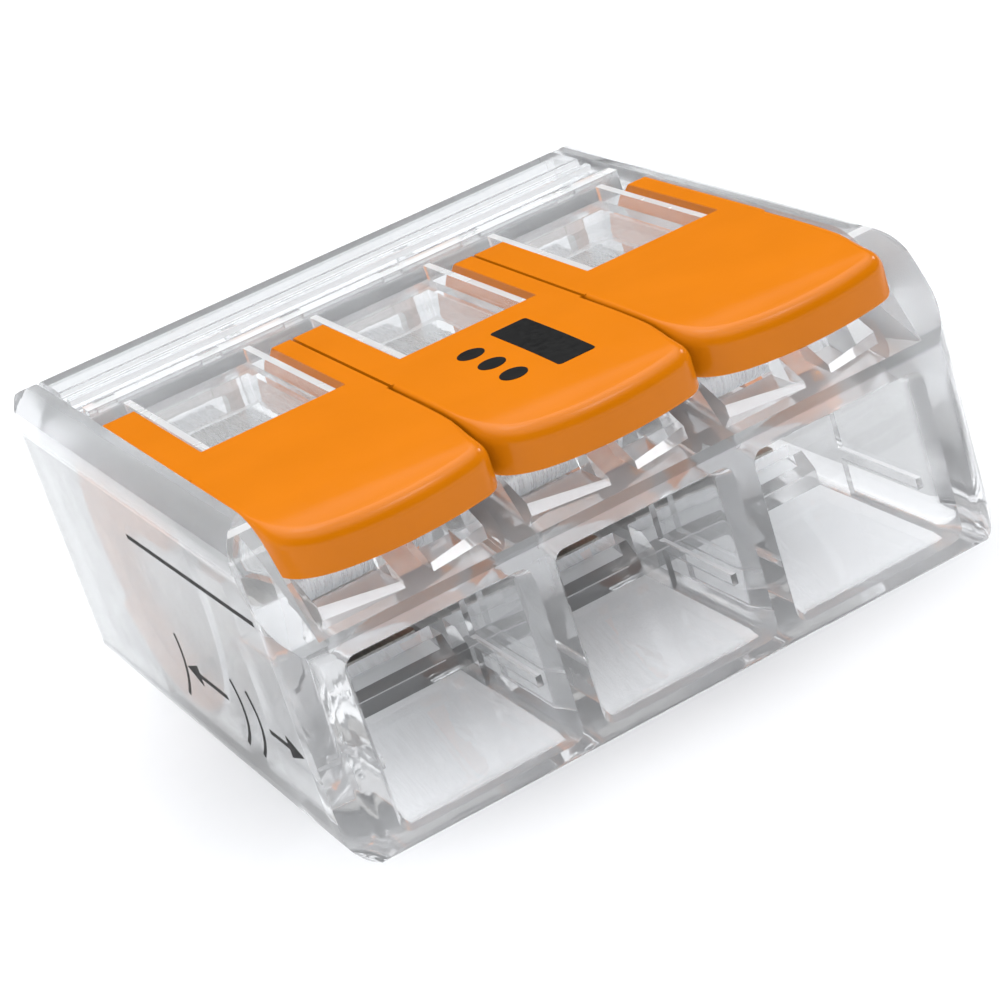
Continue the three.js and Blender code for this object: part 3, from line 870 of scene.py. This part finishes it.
def lever_mark():
    """A bar beside three dots, one dot for each wire, draped over the crown of the plate."""
    dot_x, dot_radius, proud, sunk = -0.7, 0.36, 0.008, 0.01
    outlines = [rounded_rectangle(0.2, 1.25, -6.6, -2.9, 0.1, 3)]
    outlines += [circle(dot_x, y, dot_radius, 24) for y in (-5.9, -4.75, -3.6)]
    film = print_layer("print", outlines, "z", -sunk, proud)
    bm = bmesh.new()
    bm.from_mesh(film.data)
    first_cut, cut_step, cuts = -7.0, 0.2, 24
    for i in range(cuts):
        geometry = bm.verts[:] + bm.edges[:] + bm.faces[:]
        place = (0, first_cut + cut_step * i, 0)
        bmesh.ops.bisect_plane(bm, geom=geometry, plane_co=place, plane_no=(0, 1, 0))
    for vert in bm.verts:
        vert.co.z += crown(vert.co.y)
    bm.to_mesh(film.data)
    bm.free()
    return film


# ---------------------------------------------------------------- pieces

eroded_and_shaded_faces(dress(finish_mesh(housing(), 0.07), "clear_shell", CLEAR, "shell", ("housing",)))
pale_bar_and_shaded_faces(dress(finish_mesh(rear_cover(), 0.03), "clear_rear_cover", CLEAR_COVER, "shell",
               ("rear_cover",)))
dress(finish_mesh(current_bar(), 0.06), "contact_bar", COPPER, "shell", ("current_bar",))
dress(finish_mesh(side_marks(), 0), "printed_guide", INK, body="shell")
dress(finish_mesh(lever_mark(), 0), "printed_dots", INK, body="middle_lever")
for pole in POLES:
    dress(finish_mesh(lever(pole), 0.09, 3), f"finger_lever_{pole}", ORANGE,
          f"{pole}_lever", (f"lever_{pole}",))
    strip = dress(finish_mesh(spring(pole), 0.04), f"spring_strip_{pole}", STEEL,
                  replaces=(f"clamp_spring_{pole}", f"clamp_leg_{pole}"))
    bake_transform(strip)


# ---------------------------------------------------------------- stage, light, camera

def floor():
    half_size, steps, below = 1.2, 12, 0.02
    bm = bmesh.new()
    bmesh.ops.create_grid(bm, x_segments=steps, y_segments=steps, size=half_size)
    obj = add_object("floor", bm)
    obj.location.z = -below * MM
    material, tree, shader, mapping = new_material("paper")
    fibre = noise(tree, mapping, 0.6, 4.0)
    colour = ramp(tree, fibre, [(0.3, (0.925, 0.935, 0.945)), (0.7, (0.935, 0.945, 0.955))])
    tree.links.new(colour.outputs["Color"], shader.inputs["Base Color"])
    shader.inputs["Specular IOR Level"].default_value = 0.1
    set_range(tree, fibre, 0.85, 0.95, shader.inputs["Roughness"])
    obj.data.materials.append(material)


def sky_ramp(tree, split, stops):
    """Brightness of the surroundings against the sine of the height angle."""
    shade = tree.nodes.new("ShaderNodeValToRGB")
    while len(shade.color_ramp.elements) < len(stops):
        shade.color_ramp.elements.new(0.5)
    for element, (position, value) in zip(shade.color_ramp.elements, stops):
        element.position = position
        element.color = (value, value * 1.005, value * 1.02, 1)
    tree.links.new(split.outputs["Z"], shade.inputs["Fac"])
    return shade


def mix_colours(tree, share, first, second):
    mix = tree.nodes.new("ShaderNodeMixRGB")
    for output, name in ((share, "Fac"), (first, "Color1"), (second, "Color2")):
        tree.links.new(output, mix.inputs[name])
    return mix.outputs["Color"]


def world():
    """Darker in front than behind, for shape in the levers.

    Reflections see a dark tent with a bright top, rays through the clear plastic a paler one, and the camera a
    plain pale one.
    """
    scene = bpy.context.scene
    scene.world = bpy.data.worlds.new("studio")
    scene.world.use_nodes = True
    tree = scene.world.node_tree
    background = tree.nodes["Background"]
    coordinates = tree.nodes.new("ShaderNodeTexCoord")
    split = tree.nodes.new("ShaderNodeSeparateXYZ")
    tree.links.new(coordinates.outputs["Generated"], split.inputs["Vector"])
    front = sky_ramp(tree, split, [(0.0, 0.2), (0.2, 0.1), (0.45, 0.15), (0.75, 0.8), (1.0, 1.8)])
    rear = sky_ramp(tree, split, [(0.0, 1.0), (0.2, 1.2), (0.45, 1.3), (0.75, 1.4), (1.0, 1.7)])
    gloss = sky_ramp(tree, split, [(0.0, 0.1), (0.2, 0.03), (0.5, 0.03), (0.68, 1.6), (0.85, 3.0), (1.0, 3.0)])
    glass = sky_ramp(tree, split, [(0.0, 1.2), (0.2, 1.1), (0.4, 0.75), (0.6, 1.1), (1.0, 1.5)])
    side = tree.nodes.new("ShaderNodeMapRange")
    side.inputs["From Min"].default_value = -0.3
    side.inputs["From Max"].default_value = 0.1
    tree.links.new(split.outputs["Y"], side.inputs["Value"])
    path = tree.nodes.new("ShaderNodeLightPath")
    colour = mix_colours(tree, side.outputs["Result"], front.outputs["Color"], rear.outputs["Color"])
    colour = mix_colours(tree, path.outputs["Is Glossy Ray"], colour, gloss.outputs["Color"])
    inside = tree.nodes.new("ShaderNodeMath")
    inside.operation = "GREATER_THAN"
    inside.inputs[1].default_value = 0.5
    tree.links.new(path.outputs["Transmission Depth"], inside.inputs[0])
    colour = mix_colours(tree, inside.outputs["Value"], colour, glass.outputs["Color"])
    backdrop = sky_ramp(tree, split, [(0.0, 0.97), (1.0, 0.98)])
    colour = mix_colours(tree, path.outputs["Is Camera Ray"], colour, backdrop.outputs["Color"])
    tree.links.new(colour, background.inputs["Color"])


def soft_box(name, place, target, size, radiance):
    """A rectangular lamp aimed at a target, as bright as its radiance says whatever its size."""
    data = bpy.data.lights.new(name, "AREA")
    data.shape = "RECTANGLE"
    data.size, data.size_y = size
    data.energy = radiance * math.pi * size[0] * size[1]
    light = bpy.data.objects.new(name, data)
    bpy.context.scene.collection.objects.link(light)
    light.location = place
    light.rotation_euler = (Vector(target) - Vector(place)).to_track_quat("-Z", "Y").to_euler()


def camera():
    """The view from the front left and above, with a strong roll."""
    azimuth, elevation, roll = (math.radians(v) for v in (-20.8003, 22.6543, -17.9721))
    back = Vector((math.sin(azimuth) * math.cos(elevation), -math.cos(azimuth) * math.cos(elevation),
                   math.sin(elevation)))
    right = Vector((0, 0, 1)).cross(back).normalized()
    up = back.cross(right)
    rolled_right = right * math.cos(roll) + up * math.sin(roll)
    rolled_up = up * math.cos(roll) - right * math.sin(roll)
    target, distance, shift_right, shift_down = Vector((0, 0, 4)), 75.124, 0.5274, 0.9615
    place = target + back * distance + rolled_right * shift_right - rolled_up * shift_down
    data = bpy.data.cameras.new("camera")
    data.lens = 103.18
    data.sensor_width = 36
    data.clip_start = 0.002
    obj = bpy.data.objects.new("camera", data)
    bpy.context.scene.collection.objects.link(obj)
    turn = Matrix((rolled_right, rolled_up, back)).transposed().to_4x4()
    obj.matrix_world = Matrix.Translation(place * MM) @ turn
    bpy.context.scene.camera = obj


floor()
world()
LIT = (0, 0, 0.004)
soft_box("key", (-0.04, 0.05, 0.28), LIT, (0.13, 0.11), radiance=2.4)
soft_box("nose", (0.09, -0.11, 0.24), LIT, (0.08, 0.06), radiance=4.5)
soft_box("edge", (0.24, 0.06, 0.12), LIT, (0.05, 0.05), radiance=8.0)
camera()
scene = bpy.context.scene
scene.view_settings.view_transform = "Standard"
scene.cycles.transparent_max_bounces = 48
scene.cycles.max_bounces = 20
scene.cycles.transmission_bounces = 20
